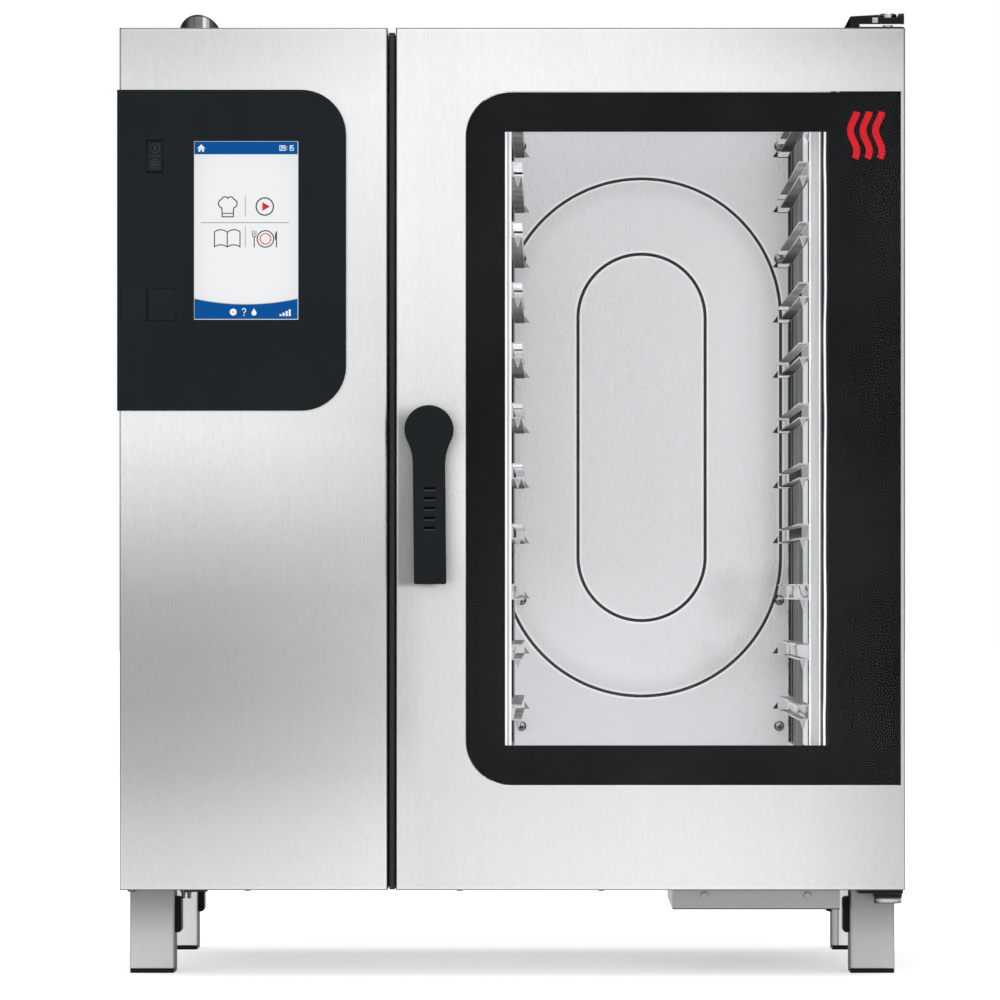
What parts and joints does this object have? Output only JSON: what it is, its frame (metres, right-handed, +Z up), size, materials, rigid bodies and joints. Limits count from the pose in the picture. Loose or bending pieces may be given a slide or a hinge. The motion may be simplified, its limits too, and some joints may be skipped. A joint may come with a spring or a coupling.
{
  "type": "combi steamer oven",
  "caption": "Table-top combi steamer oven: steel cabinet on four square legs, touch control panel, tall glazed door with lever handle, tray racks and side fan.",
  "frame": {"origin": "on the floor under the middle of the cabinet, midway between the front of the handle and the pipe ends at the back", "axes": "+X to the right seen from the front, +Y towards the back, +Z up; the door faces -Y"},
  "size_m": [0.8772, 0.852, 1.1164],
  "materials": {
    "brushed_stainless": "fine vertical brushed grain, satin",
    "chamber_stainless": "smooth cold-rolled sheet, half bright",
    "leg_stainless": "brushed square tube, vertical grain",
    "galvanised_sheet": "dull zinc-coated sheet",
    "polished_chrome": "polished",
    "blackened_steel": "black, semi-gloss",
    "black_panel": "black front panel, satin gloss",
    "black_glass_print": "black enamel printed behind glass",
    "black_plastic": "fine moulded texture",
    "grey_trim": "matt dark grey strip",
    "clear_glass": "clear toughened glass",
    "black_silicone": "matt silicone",
    "mineral_wool": "fibrous blanket",
    "circuit_board": "solder mask",
    "display_face": null,
    "brass": "machined",
    "motor_casting": "painted casting"
  },
  "bodies": {
    "cabinet": {"side_panel_left": "brushed_stainless", "side_panel_right": "brushed_stainless", "top_cover": "brushed_stainless", "front_cover": "brushed_stainless", "chamber_front_frame": "brushed_stainless", "exhaust_pipe": "brushed_stainless", "chamber": "chamber_stainless", "suction_panel": "chamber_stainless", "rack_left": "chamber_stainless", "rack_right": "chamber_stainless", "steam_generator": "chamber_stainless", "steam_pipe": "chamber_stainless", "drain_pipe": "chamber_stainless", "leg_front_left": "leg_stainless", "leg_front_right": "leg_stainless", "leg_rear_left": "leg_stainless", "leg_rear_right": "leg_stainless", "base_pan": "galvanised_sheet", "rear_panel": "galvanised_sheet", "drain_box": "galvanised_sheet", "power_module": "galvanised_sheet", "hinge_pin_top": "polished_chrome", "hinge_pin_bottom": "polished_chrome", "latch_keeper": "polished_chrome", "usb_socket": "polished_chrome", "hinge_bracket_top": "blackened_steel", "hinge_bracket_bottom": "blackened_steel", "heating_coil": "blackened_steel", "control_panel_bezel": "black_panel", "usb_side_cover": "black_plastic", "foot_front_left": "black_plastic", "foot_front_right": "black_plastic", "foot_rear_left": "black_plastic", "foot_rear_right": "black_plastic", "leg_clip_front_left": "black_plastic", "leg_clip_front_right": "black_plastic", "leg_clip_rear_left": "black_plastic", "leg_clip_rear_right": "black_plastic", "gap_trim": "grey_trim", "door_gasket": "black_silicone", "insulation": "mineral_wool", "control_board": "circuit_board", "touch_display": "display_face", "water_valve": "brass", "fan_motor": "motor_casting"},
    "fan": {"fan_wheel": "galvanised_sheet", "motor_shaft": "polished_chrome"},
    "power_rocker": {"power_rocker": "black_plastic"},
    "usb_flap": {"usb_flap": "black_plastic"},
    "door": {"door_frame": "brushed_stainless", "door_glass_outer": "clear_glass", "door_glass_print": "black_glass_print", "door_inner_frame": "brushed_stainless", "door_glass_inner": "clear_glass", "handle_bush": "black_plastic"},
    "handle": {"handle_lever": "black_plastic", "handle_spindle": "polished_chrome", "latch_cam": "polished_chrome"}
  },
  "joints": [
    {"name": "door_swing", "type": "hinge", "parent": "cabinet", "child": "door", "pos_m": [0.42, -0.336, 0.578], "axis": [0, 0, 1], "range_deg": [0, 120]},
    {"name": "handle_turn", "type": "hinge", "parent": "door", "child": "handle", "pos_m": [-0.0915, -0.366, 0.609], "axis": [0, -1, 0], "range_deg": [0, 90]},
    {"name": "power_rocker_tilt", "type": "hinge", "parent": "cabinet", "child": "power_rocker", "pos_m": [-0.398, -0.366, 0.9148], "axis": [1, 0, 0], "range_deg": [0, 10]},
    {"name": "usb_flap_hinge", "type": "hinge", "parent": "cabinet", "child": "usb_flap", "pos_m": [-0.4044, -0.3694, 0.7498], "axis": [0, 0, -1], "range_deg": [0, 110]},
    {"name": "fan_spin", "type": "hinge", "parent": "cabinet", "child": "fan", "pos_m": [-0.084, 0.016, 0.61], "axis": [1, 0, 0], "continuous": true}
  ]
}
